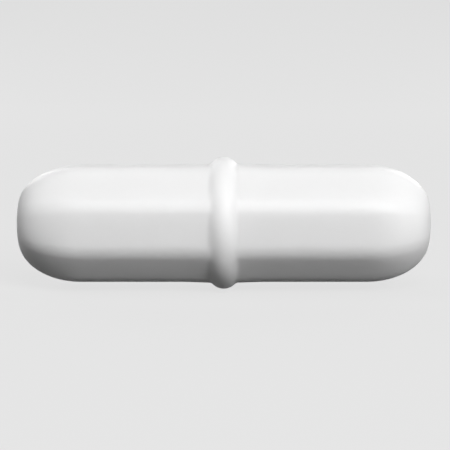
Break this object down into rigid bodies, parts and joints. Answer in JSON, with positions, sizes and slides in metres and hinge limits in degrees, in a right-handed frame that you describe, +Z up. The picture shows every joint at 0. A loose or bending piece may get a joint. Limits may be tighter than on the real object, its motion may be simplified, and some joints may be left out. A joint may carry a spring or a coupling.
{
  "type": "magnetic stir bar",
  "caption": "Octagonal magnetic stir bar with rounded ends and a moulded pivot ring round its middle, a rod magnet sealed in a white fluoropolymer jacket.",
  "frame": {"origin": "lowest point of the pivot ring, under the middle of the bar", "axes": "+X along the bar, +Z up, with one flat of the octagonal body facing straight down"},
  "size_m": [0.0286, 0.0092, 0.0092],
  "materials": {
    "ptfe": "moulded PTFE, white, waxy satin",
    "magnet_alloy": "cast aluminium-nickel-cobalt magnet alloy, ground, sealed out of sight"
  },
  "bodies": {
    "root": {"moulded_jacket": "ptfe", "bar_magnet": "magnet_alloy"}
  },
  "joints": []
}
